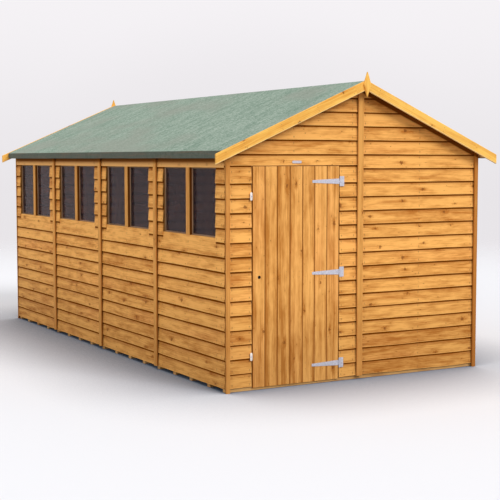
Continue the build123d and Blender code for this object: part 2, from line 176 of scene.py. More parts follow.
class Pile:
    """Boards or fittings gathered into one mesh, with what their material needs at each point.

    The attribute grain is a point's place in its own piece of wood. The attribute board holds the
    piece's tone, the height above its lower edge, which places a painted highlight there, and how
    clear it is of the painted shade at a lap, a door's grooves or a side. The attribute marks holds
    the distance along to the nearest nail, and how clear the point is of the painted shade under the roof.
    """

    def __init__(self):
        self.points = []
        self.faces = []
        self.grain = []
        self.board = []
        self.marks = []

    def loft(self, rings, grain=None, board=None, marks=None):
        """A closed body through rings that have equally many points."""
        start, count = len(self.points), len(rings[0])
        for index, ring in enumerate(rings):
            self.points += ring
            self.grain += grain[index] if grain else ring
            self.board += board[index] if board else [(0.5, *NO_PAINTED_LIGHT[:2])] * count
            self.marks += marks[index] if marks else [(1.0, NO_PAINTED_LIGHT[2], 0.0)] * count
        for index in range(len(rings) - 1):
            low = start + index * count
            for step in range(count):
                after = (step + 1) % count
                self.faces.append((low + step, low + after, low + count + after, low + count + step))
        for cap in (start, start + (len(rings) - 1) * count):
            self.faces.append(tuple(range(cap, cap + count)))

    def piece(self, name, material, body, slot, *nodes, smooth=False):
        """Turn the pile into an object that rides on a body and stands for CAD nodes."""
        mesh = bpy.data.meshes.new(name)
        mesh.from_pydata([tuple(point) for point in self.points], [], self.faces)
        for label in ("grain", "board", "marks"):
            numbers = [number for value in getattr(self, label) for number in value]
            mesh.attributes.new(label, "FLOAT_VECTOR", "POINT").data.foreach_set("vector", numbers)
        work = bmesh.new()
        work.from_mesh(mesh)
        bmesh.ops.remove_doubles(work, verts=work.verts, dist=1e-6)
        bmesh.ops.recalc_face_normals(work, faces=work.faces)
        work.to_mesh(mesh)
        work.free()
        if smooth:
            mesh.polygons.foreach_set("use_smooth", [True] * len(mesh.polygons))
            mesh.set_sharp_from_angle(angle=math.radians(35))
        mesh.materials.append(material)
        made = add(name, mesh)
        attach(made, body)
        if nodes:
            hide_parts(*nodes)
        return made


def timber(pile, section, ends, place, spacing=0.1, wander=None, tone=None, traits=None,
           nails=(), stops=()):
    """One piece of timber: its section, its two ends at each height, and where it is placed."""
    seed = rng.uniform(0, 100)
    tone = rng.random() if tone is None else tone
    offset = [rng.uniform(0, 40) for axis in range(3)]
    spans = [ends(across) for across, depth in section]
    first, last = min(start for start, end in spans), max(end for start, end in spans)
    count = max(2, round((last - first) / spacing))
    stations = {first + (last - first) * step / count for step in range(count + 1)}
    halfway = [(one + other) / 2 for one, other in zip(nails, nails[1:])]
    stations |= {stop for stop in (*nails, *halfway, *stops) if first < stop < last}
    rings, grain, board, marks = [], [], [], []
    for station in sorted(stations):
        for rows in (rings, grain, board, marks):
            rows.append([])
        for (across, depth), (start, end) in zip(section, spans):
            along = min(max(station, start), end)
            shift = wander(along, across, depth, seed) if wander else (0.0, 0.0)
            point = place(along, across + shift[0], depth + shift[1])
            rings[-1].append(point)
            grain[-1].append((along + offset[0], across + offset[1], depth + offset[2]))
            # A point's height above the lower edge, which places a painted highlight, and how clear it is
            # of painted shade at a lap or side and under the roof
            foot, side_shade_line, roof_shade_line = traits(point, along, across) if traits else NO_PAINTED_LIGHT
            board[-1].append((tone, foot, side_shade_line))
            marks[-1].append((min((abs(along - spot) for spot in nails), default=1.0), roof_shade_line, 0.0))
    pile.loft(rings, grain, board, marks)


def eased(width, thickness, ease, middle=False):
    """A rectangle with its four corners eased, as across and depth."""
    columns = (ease, width / 2, width - ease) if middle else (ease, width - ease)
    front = [(across, 0.0) for across in columns]
    back = [(across, thickness) for across in reversed(columns)]
    right = [(width, ease), (width, thickness - ease)]
    left = [(0.0, thickness - ease), (0.0, ease)]
    return front + right + back + left


def lapped(height, extra=()):
    """A sawn board that leans back under the one above; depth runs in from the wall's face."""
    ease = 0.0012
    lean = BOARD_LEAN * min(1.0, height / (LAP + OVERLAP))
    rows = sorted({ease, 0.35 * height, 0.7 * height, height, *extra})
    front = [(row, lean * row / height) for row in rows]
    back = [(row, lean * row / height + BOARD_THICKNESS) for row in reversed(rows)]
    return [(0.0, ease), *front, *back, (0.0, BOARD_THICKNESS - ease)]


def circle(radius, sides):
    """A round outline about the origin."""
    turns = [2 * math.pi * step / sides for step in range(sides)]
    return [(radius * math.cos(turn), radius * math.sin(turn)) for turn in turns]


def rounded(width, height, radius, steps=5):
    """A rectangle about the origin with round corners."""
    points = []
    for corner, (x, z) in enumerate(((1, 1), (-1, 1), (-1, -1), (1, -1))):
        for step in range(steps + 1):
            turn = math.pi / 2 * (corner + step / steps)
            points.append((x * (width / 2 - radius) + radius * math.cos(turn),
                           z * (height / 2 - radius) + radius * math.sin(turn)))
    return points


def raised(pile, outline, centre, outward, levels, tone=0.5):
    """A piece standing out from a gable: an outline in X and Z, scaled at each level of lift."""
    rings = []
    for lift, share in levels:
        y = centre[1] + outward * lift
        rings.append([Vector((centre[0] + x * share, y, centre[2] + z * share)) for x, z in outline])
    grain = [[(point.z, point.x, point.y) for point in ring] for ring in rings]
    board = [[(tone, *NO_PAINTED_LIGHT[:2])] * len(outline) for ring in rings]
    pile.loft(rings, grain, board)


def stud(pile, centre, outward, radius, height, sides=8):
    """A domed head of a nail or screw."""
    outward = Vector(outward)
    first = outward.orthogonal().normalized()
    second = outward.cross(first)
    rings = []
    for share, lift in ((1.0, -0.4), (1.0, 0.35), (0.72, 0.85), (0.3, 1.0)):
        middle = Vector(centre) + outward * height * lift
        rings.append([middle + (first * x + second * y) * share for x, y in circle(radius, sides)])
    pile.loft(rings)


class Wall:
    """One wall's boards and nails: the axis its boards run along, and its side."""

    def __init__(self, axis, side):
        self.axis = axis
        self.side = side
        self.lap_shade_line = GABLE_LAP_SHADE if axis == "x" else SIDE_LAP_SHADE
        self.boards = Pile()
        self.nails = Pile()

    def place(self, along, height, depth):
        """A point of the wall, by its place along, its height and its depth in from the face."""
        if self.axis == "x":
            return Vector((along, self.side * (HALF_LENGTH - depth), height))
        return Vector((self.side * (HALF_WIDTH - depth), along, height))

    def course(self, bottom, top, left, right, extra=(), nails=(), stops=(), edge=EDGE,
               lap=None, cover=math.inf, cover_shade_line=EAVES_SHADE, tone=None):
        """One lapped board. Its ends may be functions of height. The lap above it and the cover of
        the roof draw lines of painted shade on it, and may be functions of the place along.
        """
        height = top - bottom
        left_end, right_end, cover_at = by_place(left), by_place(right), by_place(cover)
        lap_at = by_place(top - OVERLAP if lap is None else lap)
        trims = rng.uniform(0, 0.0015), rng.uniform(0, 0.0015)
        sit = rng.uniform(0, 0.0004)
        long_wave, short_wave = rng.uniform(0.3, 0.6), rng.uniform(0.06, 0.12)

        def ends(across):
            start = left_end(bottom + across) + trims[0]
            return start, max(start, right_end(bottom + across) - trims[1])

        def wander(along, across, depth, seed):
            low = 1.0 - across / height
            drop = wave(along, seed, long_wave, edge) + wave(along, seed + 7, short_wave, 0.4 * edge)
            bow = wave(along, seed + 3, 0.5, 0.0004) + sit
            return max(-0.003, drop) * low, bow * low

        def place(along, across, depth):
            return self.place(along, bottom + across, depth)

        def traits(point, along, across):
            height = bottom + across
            # Painted shade below the lap above, and below what covers the wall's top
            lap_shade = shade_clearance(lap_at(along) - height, *self.lap_shade_line)
            return across, lap_shade, shade_clearance(cover_at(along) - height, *cover_shade_line)

        rows = [z - bottom for z in extra if bottom < z < top]
        section = lapped(height, rows)
        timber(self.boards, section, ends, place, 0.06, wander, tone, traits, nails, stops)
        outward = self.place(0, 0, -1) - self.place(0, 0, 0)
        for along in nails:
            for lift in NAIL_LIFTS:
                start, end = ends(lift)
                if lift < height - 0.03 and start + 0.008 < along < end - 0.008:
                    depth = BOARD_LEAN * lift / height
                    spot = self.place(along + rng.uniform(-0.002, 0.002), bottom + lift, depth)
                    stud(self.nails, spot, outward, NAIL_RADIUS, 0.0007, 6)

    def pieces(self, name, *nodes):
        """Make the wall's boards and nails."""
        self.boards.piece(f"{name}_boards", CLADDING, "root", "cladding", *nodes)
        self.nails.piece(f"{name}_nails", NAILS, "root", "galvanised_steel")


def laps(limit):
    """Lower edges of the lapped boards from the lowest up to a limit."""
    count = math.ceil((limit - CLADDING_BOTTOM) / LAP - 0.01)
    return [CLADDING_BOTTOM + LAP * step for step in range(count)]


def side_wall(name, side, glazed, *nodes):
    """A long wall's boards, panel by panel, with its windows left open."""
    wall = Wall("y", side)
    for panel in range(PANELS):
        start = -HALF_LENGTH + panel * PANEL
        low, high = max(start + JOINT, -INNER_Y), min(start + PANEL - JOINT, INNER_Y)
        left, right = start + FRONT_PIER, start + PANEL - REAR_PIER
        middle = (left + right) / 2
        nails = (low + PANEL_NAIL, left - OPENING_NAIL, middle, right + OPENING_NAIL, high - PANEL_NAIL)
        rows = laps(HEAD - LAP / 2)
        for row in rows:
            last = row == rows[-1]
            top = HEAD + HEAD_OVERLAP if last else row + LAP + OVERLAP
            lap = HEAD if last else None
            if not glazed or top < SILL - 0.04:
                wall.course(row, top, low, high, nails=nails, lap=lap)
            elif row < SILL - LAP:
                step = row + LAP + OVERLAP / 2
                cut = (step, step + 0.0005)
                wall.course(row, SILL, lambda z: low if z <= cut[0] else left,
                            lambda z: high if z <= cut[0] else right, cut, nails,
                            (left - 0.001, left, right, right + 0.001),
                            lap=lambda along: row + LAP if not left <= along <= right else math.inf,
                            tone=rng.uniform(0.1, 0.35))
            else:
                for ends in ((low, left), (right, high)):
                    wall.course(row, top, *ends, nails=nails, lap=lap)
        # The header takes a negative tone, painted paler as painted bounced light, and the fold above draws
        # painted shade on its top
        wall.course(HEAD, WALL_HEIGHT, low, high, nails=nails, edge=HEADER_EDGE, lap=math.inf,
                    cover=FOLD_BOTTOM, tone=rng.uniform(-0.6, -0.4))
    wall.pieces(name, *nodes)


def gable_courses(wall, rows, left, right):
    """Lapped boards of one gable panel, cut to the slope of the roof."""
    inward, outer = (left, right) if left > 0 else (right, left)

    def limit(z):
        return min(abs(outer), HALF_WIDTH - (z - WALL_HEIGHT) / SLOPE)

    peak = roof_under(inward)
    # Painted shade under the bargeboards, narrower on the right panel
    line = RIGHT_BARGE_SHADE if left > 0 else LEFT_BARGE_SHADE
    nails = (left + GABLE_NAIL, (left + right) / 2, right - GABLE_NAIL)
    for index, row in enumerate(rows):
        last = index + 1 == len(rows)
        above = peak if last else rows[index + 1]
        top = min(above + OVERLAP, peak - 0.002)
        ends = (left, limit) if left > 0 else (lambda z: -limit(z), right)
        edge = LOWEST_EDGE if row == CLADDING_BOTTOM else EDGE
        # Painted shade: the right panel's low boards take a darker tone
        ground_shade = RIGHT_GROUND_SHADE * max(0.0, 1.0 - row) if left > 0 else 0.0
        wall.course(row, top, *ends, (WALL_HEIGHT,), nails, edge=edge, lap=math.inf if last else above,
                    cover=barge_under, cover_shade_line=line, tone=rng.random() + ground_shade)


def front_wall():
    """The door gable: boards beside and over the door, and the plain panel."""
    wall = Wall("x", -1)
    beside = laps(DOOR_HEAD - LAP)
    rows = laps(roof_under(0) - 0.02)
    over = [DOOR_HEAD] + [row for row in rows if row > DOOR_HEAD + 0.02]
    door_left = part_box("front_wall_left_of_door")[1].x
    door_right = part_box("front_wall_right_of_door")[0].x
    for low, high, nails in (
        (-HALF_WIDTH, door_left, (-HALF_WIDTH + GABLE_NAIL, door_left - OPENING_NAIL)),
        (door_right, -JOINT, (door_right + OPENING_NAIL, -JOINT - JOINT_NAIL)),
    ):
        for row in beside:
            last = row == beside[-1]
            top = DOOR_HEAD if last else row + LAP + OVERLAP
            edge = LOWEST_EDGE if row == beside[0] else DOOR_SIDE_EDGE
            wall.course(row, top, low, high, nails=nails, edge=edge, lap=DOOR_HEAD if last else None)
    gable_courses(wall, over, -HALF_WIDTH, -JOINT)
    gable_courses(wall, rows, JOINT, HALF_WIDTH)
    wall.pieces("front_wall", "front_wall_left_of_door", "front_wall_right_of_door",
                "front_wall_over_door", "front_wall_right_panel")


def rear_wall():
    """The plain gable."""
    wall = Wall("x", 1)
    rows = laps(roof_under(0) - 0.02)
    gable_courses(wall, rows, -HALF_WIDTH, -JOINT)
    gable_courses(wall, rows, JOINT, HALF_WIDTH)
    wall.pieces("rear_wall", "rear_wall_left_panel", "rear_wall_right_panel")


def upright(pile, x_range, y_range, low, top, ease=0.0015, tone=None, spacing=0.15, traits=None,
            stops=(), middle=False):
    """A vertical board; top is its height, or a function of place across X."""
    top_at = by_place(top)
    x_low, x_high = x_range
    y_low, y_high = y_range

    def ends(across):
        return low, top_at(x_low + across)

    def place(along, across, depth):
        return Vector((x_low + across, y_low + depth, along))

    def wander(along, across, depth, seed):
        return wave(along, seed, 0.4, 0.0004), 0.0

    section = eased(x_high - x_low, y_high - y_low, ease, middle)
    timber(pile, section, ends, place, spacing, wander, tone, traits, stops=stops)


def side_strip_traits(point, along, across):
    """A strip's sides get painted shade towards the wall, and its top painted shade under the eaves."""
    side_shade = shade_clearance(abs(point.x) - HALF_WIDTH, *STRIP_SIDE_SHADE)
    return NO_PAINTED_LIGHT[0], side_shade, shade_clearance(FOLD_BOTTOM - point.z, *EAVES_SHADE)


def gable_strip_traits(point, along, across):
    """A strip's sides get painted shade towards the wall, and its top painted shade under the bargeboards.
    """
    side_shade = shade_clearance(abs(point.y) - HALF_LENGTH, *STRIP_SIDE_SHADE)
    return NO_PAINTED_LIGHT[0], side_shade, shade_clearance(barge_under(point.x) - point.z, *LEFT_BARGE_SHADE)


def cover_strips():
    """Strips over the panel joints of all walls, and at the corners of the gables."""
    pile = Pile()
    top = roof_under(HALF_WIDTH + STRIP_THICKNESS)
    for side in (-1, 1):
        x_range = sorted((side * HALF_WIDTH, side * (HALF_WIDTH + STRIP_THICKNESS)))
        for joint in range(1, PANELS):
            middle = -HALF_LENGTH + joint * PANEL
            span = (middle - STRIP_WIDTH / 2, middle + STRIP_WIDTH / 2)
            upright(pile, x_range, span, CLADDING_BOTTOM, top, tone=rng.uniform(0.1, 0.5),
                    traits=side_strip_traits)
    pile.piece("side_cover_strips", STRIPS, "root", "cover_strip", "side_wall_strips")
    pile = Pile()
    for face in (-1, 1):
        y_range = sorted((face * HALF_LENGTH, face * (HALF_LENGTH + STRIP_THICKNESS)))
        middle = -face * GABLE_STRIP_OFFSET
        span = (middle - STRIP_WIDTH / 2, middle + STRIP_WIDTH / 2)
        upright(pile, span, y_range, CLADDING_BOTTOM, roof_under, tone=0.35, traits=gable_strip_traits)
        for side in (-1, 1):
            span = sorted((side * HALF_WIDTH, side * (HALF_WIDTH - CORNER_STRIP_WIDTH)))
            # The +X corner strips take a darker tone, as painted shade
            tone = 1.0 if side < 0 else 3.2
            upright(pile, span, y_range, 0.0, roof_under, tone=tone, traits=gable_strip_traits)
    pile.piece("gable_cover_strips", STRIPS, "root", "cover_strip", "gable_strips")


def bargeboards():
    """A sloping board on each side of each gable, nailed to the roof."""
    thickness = BARGE_HIGH.y - BARGE_LOW.y
    outside = abs(BARGE_LOW.y)
    outer = BARGE_HIGH.x
    height = BARGE_DROP * math.cos(PITCH)
    peak = barge_under(0)
    for name, face in (("front", -1), ("rear", 1)):
        pile, nails = Pile(), Pile()
        for side in (-1, 1):

            def ends(across):
                start = -across * math.tan(PITCH)
                return start, start + outer / math.cos(PITCH)

            def place(along, across, depth):
                x = along * math.cos(PITCH) + across * math.sin(PITCH)
                z = peak - along * math.sin(PITCH) + across * math.cos(PITCH)
                return Vector((side * x, face * (outside - depth), z))

            # The bargeboard's lower edge gets a wider painted highlight
            def traits(point, along, across):
                return 0.6 * across, *NO_PAINTED_LIGHT[1:]

            timber(pile, eased(height, thickness, 0.0022), ends, place, 0.12, traits=traits)
            for along in BARGE_NAILS:
                for across in (0.018, height - 0.02):
                    spot = place(along, across, -0.0001)
                    stud(nails, spot, (0, face, 0), NAIL_RADIUS, 0.0007, 6)
        pile.piece(f"{name}_bargeboards", BARGE, "root", "bargeboard",
                   f"bargeboard_{name}_left", f"bargeboard_{name}_right")
        nails.piece(f"{name}_bargeboard_nails", NAILS, "root", "galvanised_steel")


def finials():
    """A diamond with eased edges over each peak."""
    half = (FINIAL_HIGH.x - FINIAL_LOW.x) / 2
    height = FINIAL_HIGH.z - FINIAL_LOW.z
    thickness = FINIAL_HIGH.y - FINIAL_LOW.y
    above = FINIAL_SHOULDER * height
    outline = [(0.0, above), (half, 0.0), (0.0, above - height), (-half, 0.0)]
    levels = ((0.0, 1.0), (thickness - 0.004, 1.0), (thickness, 0.86))
    for name, face in (("front", -1), ("rear", 1)):
        pile = Pile()
        centre = (0.0, face * abs(FINIAL_HIGH.y), FINIAL_HIGH.z - above)
        raised(pile, outline, centre, face, levels, tone=0.7)
        pile.piece(f"{name}_finial", BARGE, "root", "bargeboard", f"finial_{name}")


def felt():
    """Mineral felt on both slopes, nailed down where it folds over the eaves."""
    steps = 26
    stations = 110
    recess = 0.0016
    eaves = FELT_OUTER - FELT
    turn = eaves - 0.004
    corner = FELT_TOP - turn * SLOPE
    skin = FELT_OUTER - recess
    columns = [eaves * step / steps for step in range(steps + 1)]
    under = [(x, RIDGE - x * SLOPE) for x in columns]
    over = [(x, FELT_TOP - x * SLOPE) for x in columns[:-1]]
    over += [(turn, corner), (skin - 0.0008, corner - 0.0022), (skin, corner - 0.006)]
    over += [(skin, corner - 0.02), (skin, corner - 0.035), (skin, FOLD_BOTTOM)]
    under += [(eaves, FOLD_BOTTOM)]
    section = over + under[::-1]
    outside = set(over)
    pile, nails = Pile(), Pile()
    for side in (-1, 1):
        seed = 11.0 + side

        def place(along, x, z):
            lift, pull, hem = 0.0, 0.0, 0.0
            if (x, z) in outside and x < eaves - 0.03:
                lift = 0.0012 * (1 + noise.noise(Vector((along * 0.9, x * 1.6, seed))))
                lift += 0.0005 * (1 + noise.noise(Vector((along * 4, x * 6, seed + 4))))
            if x > eaves + 0.0005:
                pull = 0.0004 * (1 + noise.noise(Vector((along * 6, z * 20, seed))))
            if z <= FOLD_BOTTOM:
                hem = 0.0015 * (1 + noise.noise(Vector((along * 3.1, 0.3, seed))))
            return Vector((side * (x - pull), along, z + lift + hem))

        rings, grain, board = [], [], []
        for station in range(stations + 1):
            along = -ROOF_Y + 2 * ROOF_Y * station / stations
            rings.append([place(along, x, z) for x, z in section])
            grain.append([(along, side * x, z) for x, z in section])
            board.append([(0.5, 1.0 if x > eaves - 0.003 else 0.0, 0.0) for x, z in section])
        pile.loft(rings, grain, board)
        for step in range(FELT_NAILS):
            along = -ROOF_Y + 0.03 + (2 * ROOF_Y - 0.06) * step / (FELT_NAILS - 1)
            spot = (side * (skin + 0.0002), along + rng.uniform(-0.006, 0.006),
                    corner - 0.024 + rng.uniform(-0.004, 0.004))
            stud(nails, spot, (side, 0, 0), 0.0042, 0.0009)
    pile.piece("roof_felt", FELT_SKIN, "root", "roof_felt",
               "roof_felt_left", "roof_felt_right", "roof_felt_folds", smooth=True)
    nails.piece("felt_nails", CLOUTS, "root", "galvanised_steel")


def ledge_heights():
    """Middle heights of the door's three ledges, from the hinge plates on them."""
    low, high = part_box("hinge_plates")
    return (low.z + PLATE_HALF, MIDDLE_LEDGE, high.z - PLATE_HALF)


def door_boards():
    """Seven matched boards with grooves between them, nailed to the ledges."""
    pile, nails = Pile(), Pile()
    edges = (DOOR_LOW.x, *DOOR_SEAMS, DOOR_HIGH.x)
    for low, high in zip(edges, edges[1:]):

        def traits(point, along, across):
            # Painted shade in the grooves at each board's edges
            groove_shade = shade_clearance(min(across, high - low - across), *GROOVE_SHADE)
            return NO_PAINTED_LIGHT[0], groove_shade, NO_PAINTED_LIGHT[2]

        upright(pile, (low, high), (DOOR_LOW.y, DOOR_HIGH.y), DOOR_LOW.z, DOOR_HIGH.z, 0.0022,
                spacing=0.3, traits=traits, middle=True)
        for height in ledge_heights():
            for lift in (-0.022, 0.022):
                for x in (low + 0.03, high - 0.03):
                    spot = (x, DOOR_LOW.y, height + lift)
                    stud(nails, spot, (0, -1, 0), NAIL_RADIUS * 0.8, 0.0004, 6)
    pile.piece("door_boards", DOOR, "door", "door_boards", "door_leaf")
    nails.piece("door_nails", NAILS, "door", "galvanised_steel")


def door_frame():
    """Three ledges and two slanting braces behind the door's boards."""
    low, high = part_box("door_ledges")
    ledges = ledge_heights()
    pile = Pile()

    def flat(start, end, bottom, top, slant):
        def ends(across):
            return start + slant * across, end + slant * across

        def place(along, across, depth):
            return Vector((along, low.y + depth, bottom + across))

        timber(pile, eased(top - bottom, high.y - low.y, 0.002), ends, place, 0.2)

    for height in ledges:
        flat(low.x, high.x, height - LEDGE_HALF, height + LEDGE_HALF, 0.0)
    for lower, upper in zip(ledges, ledges[1:]):
        bottom, top = lower + LEDGE_HALF, upper - LEDGE_HALF
        slant = (low.x - (high.x - BRACE)) / (top - bottom)
        flat(high.x - BRACE, high.x, bottom, top, slant)
    pile.piece("door_frame", FRAMING_ALONG, "door", "door_boards", "door_ledges", "door_braces")


def deck():
    """Floorboards along the shed."""
    pile = Pile()
    width = (DECK_HIGH.x - DECK_LOW.x) / DECK_BOARDS
    section = eased(width - 0.0015, DECK_HIGH.z - DECK_LOW.z, 0.0012)
    for index in range(DECK_BOARDS):
        low = DECK_LOW.x + index * width

        def place(along, across, depth):
            return Vector((low + across, along, DECK_LOW.z + depth))

        timber(pile, section, lambda across: (DECK_LOW.y, DECK_HIGH.y), place, 0.4)
    pile.piece("deck_boards", FRAMING_ALONG, "root", "floor", "floor_deck")


def bearers():
    """Rough timbers under the floor, across the shed."""
    pile = Pile()
    height = DECK_LOW.z
    edge = INNER_Y - BEARER / 2
    section = eased(height, BEARER, 0.002)
    for index in range(BEARERS):
        middle = -HALF_LENGTH + index * 2 * HALF_LENGTH / (BEARERS - 1)
        start = max(-edge, min(edge, middle)) - BEARER / 2

        def place(along, across, depth):
            return Vector((along, start + depth, across))

        def wander(along, across, depth, seed):
            rise = 0.0 if across < height / 2 else -abs(wave(along, seed, 0.2, 0.0015))
            inset = wave(along, seed + 5, 0.12, 0.0015)
            return rise, max(0.0, inset) if depth < BEARER / 2 else min(0.0, inset)

        timber(pile, section, lambda across: (-INNER_X, INNER_X), place, 0.08, wander)
    pile.piece("bearers", BEARERS_WOOD, "root", "floor", "floor_bearers")


def window_bars():
    """The upright bar in the middle of each window, and the beads that hold the panes."""
    low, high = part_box("window_mullions")
    first = -HALF_LENGTH + FRONT_PIER
    middle = first + (PANEL - FRONT_PIER - REAR_PIER) / 2
    half = middle - low.y
    wall = Wall("y", -1)
    bars, beads = Pile(), Pile()
    section = [(0.0, 0.0), (BEAD_WIDTH, 0.0), (BEAD_WIDTH, 0.0025), (0.002, BEAD_DEPTH), (0.0, BEAD_DEPTH)]

    # The bar's sides get painted shade towards the glass, and its top painted shade under the eaves
    def bar_traits(point, along, across):
        proud = abs(point.x) - HALF_WIDTH + GLASS_DEPTH
        return NO_PAINTED_LIGHT[0], shade_clearance(proud, *BAR_SIDE_SHADE), shade_clearance(FOLD_BOTTOM - point.z, *EAVES_SHADE)

    for panel in range(PANELS):
        start = -HALF_LENGTH + panel * PANEL
        bar = [middle + panel * PANEL + side * half for side in (-1, 1)]
        upright(bars, (low.x, high.x), bar, low.z, high.z, 0.002, tone=rng.uniform(0.0, 0.3),
                traits=bar_traits)
        for left, right in ((start + FRONT_PIER, bar[0]), (bar[1], start + PANEL - REAR_PIER)):
            places = (
                (left, right, lambda y, across, out: wall.place(y, SILL + across, GLASS_DEPTH - out)),
                (left, right, lambda y, across, out: wall.place(y, HEAD - across, GLASS_DEPTH - out)),
                (SILL, HEAD, lambda z, across, out: wall.place(left + across, z, GLASS_DEPTH - out)),
                (SILL, HEAD, lambda z, across, out: wall.place(right - across, z, GLASS_DEPTH - out)),
            )
            for begin, end, place in places:
                timber(beads, section, lambda across: (begin, end), place, 0.25, tone=rng.uniform(0.2, 0.8))
    bars.piece("window_bars", STRIPS, "root", "cover_strip", "window_mullions")
    beads.piece("glazing_beads", SHADED_BEADS, "root", "cover_strip")


def hinge_screws():
    """Screws through the straps into the door and through the plates into the wall."""
    plate_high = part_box("hinge_plates")[1]
    face = DOOR_LOW.y - STRAP
    on_door, on_wall = Pile(), Pile()
    for height in ledge_heights():
        screws = [(on_door, DOOR_HIGH.x - along, height) for along in STRAP_SCREWS]
        screws += [(on_wall, plate_high.x - 0.012, height + lift) for lift in PLATE_SCREWS]
        for pile, x, z in screws:
            stud(pile, (x, face, z), (0, -1, 0), SCREW_RADIUS, SCREW_HEIGHT, 10)
    on_door.piece("strap_screws", STEEL, "door", "galvanised_steel", smooth=True)
    on_wall.piece("plate_screws", STEEL, "root", "galvanised_steel", smooth=True)


def turn_buttons():
    """Flat bars with round ends beside the door."""
    for name in ("turn_button_upper", "turn_button_lower"):
        low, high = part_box(name)
        size, centre = high - low, (low + high) / 2
        pile = Pile()
        outline = rounded(size.x, size.z, 0.49 * size.x)
        levels = ((0.0, 0.93), (0.0006, 1.0), (size.y - 0.0008, 1.0), (size.y, 0.9))
        raised(pile, outline, (centre.x, high.y, centre.z), -1, levels)
        pile.piece(f"{name}_plate", BUTTON, name, "galvanised_steel", name, smooth=True)


def key_hole():
    """The black ring round the key hole."""
    low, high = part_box("key_escutcheon")
    centre = (low + high) / 2
    radius = (high.x - low.x) / 2
    out = high.y - low.y
    levels = ((0.0, 1.0), (0.7 * out, 1.0), (out, 0.9), (out, 0.56), (0.7 * out, 0.48), (0.2 * out, 0.42))
    pile = Pile()
    raised(pile, circle(radius, 24), (centre.x, high.y, centre.z), -1, levels)
    pile.piece("key_hole", BLACK, "door", "black_metal", "key_escutcheon", smooth=True)


def blank_plate():
    """The plate over the door, with nothing on it, and its two pins."""
    low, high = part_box("bare_plate")
    size, centre = high - low, (low + high) / 2
    pile = Pile()
    levels = ((0.0, 1.0), (size.y - 0.0006, 1.0), (size.y, 0.975))
    raised(pile, rounded(size.x, size.z, 0.006), (centre.x, high.y, centre.z), -1, levels)
    for x in (low.x + 0.007, high.x - 0.007):
        stud(pile, (x, low.y + 0.0004, centre.z), (0, -1, 0), 0.0022, 0.0004, 8)
    pile.piece("blank_plate", PLATE, "root", "galvanised_steel", "bare_plate", smooth=True)


class Graph:
    """Short calls for building a material's nodes."""

    def __init__(self, owner):
        owner.use_nodes = True
        self.owner = owner
        self.tree = owner.node_tree
        self.tree.nodes.clear()

    def node(self, kind, inputs=None, **settings):
        """Add one shader node. Inputs are numbers, vectors, opaque colours or sockets."""
        made = self.tree.nodes.new("ShaderNode" + kind)
        for key, value in settings.items():
            setattr(made, key, value)
        for key, value in (inputs or {}).items():
            if isinstance(value, bpy.types.NodeSocket):
                self.tree.links.new(value, made.inputs[key])
            elif made.inputs[key].type == "RGBA":
                made.inputs[key].default_value = (*value, 1.0)
            else:
                made.inputs[key].default_value = value
        return made

    def math(self, operation, first, second=0.0, third=0.0):
        inputs = {0: first, 1: second, 2: third}
        return self.node("Math", inputs, operation=operation).outputs[0]

    def vector(self, operation, first, second=(0, 0, 0), third=(0, 0, 0)):
        inputs = {0: first, 1: second, 2: third}
        made = self.node("VectorMath", inputs, operation=operation)
        return made.outputs["Value" if operation in ("LENGTH", "DOT_PRODUCT") else "Vector"]

    def split(self, vector):
        return self.node("SeparateXYZ", {0: vector}).outputs

    def join(self, x, y, z):
        return self.node("CombineXYZ", {0: x, 1: y, 2: z}).outputs[0]

    def attribute(self, name):
        return self.node("Attribute", attribute_name=name).outputs["Vector"]

    def here(self):
        """Place in the object, in metres."""
        return self.node("TexCoord").outputs["Object"]

    def noise(self, vector, stretch, detail=2.0, roughness=0.5, distortion=0.0):
        """Noise between 0 and 1, with so many features a metre along each axis."""
        inputs = {"Vector": self.vector("MULTIPLY", vector, stretch), "Scale": 1.0}
        inputs.update({"Detail": detail, "Roughness": roughness, "Distortion": distortion})
        return self.node("TexNoise", inputs).outputs[0]

    def sway(self, base, *swings):
        """A base changed by how far each noise lies from its middle, times its weight."""
        for value, weight in swings:
            base = self.math("MULTIPLY_ADD", self.math("SUBTRACT", value, 0.5), weight, base)
        return base

    def remap(self, value, low, high, out_low=0.0, out_high=1.0, smooth=True):
        """A value moved from one range to another, and held inside it."""
        inputs = {"Value": value, "From Min": low, "From Max": high, "To Min": out_low, "To Max": out_high}
        kind = "SMOOTHSTEP" if smooth else "LINEAR"
        return self.node("MapRange", inputs, interpolation_type=kind).outputs[0]

    def mix(self, factor, first, second, blend="MIX"):
        """Mix two colours."""
        inputs = {0: factor, 6: first, 7: second}
        settings = {"data_type": "RGBA", "blend_type": blend, "clamp_factor": True}
        return self.node("Mix", inputs, **settings).outputs[2]

    def surface(self, inputs, bump=None, strength=0.3, distance=0.001):
        """The main shader and the output."""
        shader = self.node("BsdfPrincipled", inputs)
        if bump is not None:
            inputs = {"Height": bump, "Strength": strength, "Distance": distance}
            made = self.node("Bump", inputs)
            self.tree.links.new(made.outputs[0], shader.inputs["Normal"])
        self.node("OutputMaterial", {"Surface": shader.outputs[0]})
        return self.owner


def new_graph(name):
    return Graph(bpy.data.materials.new(name))


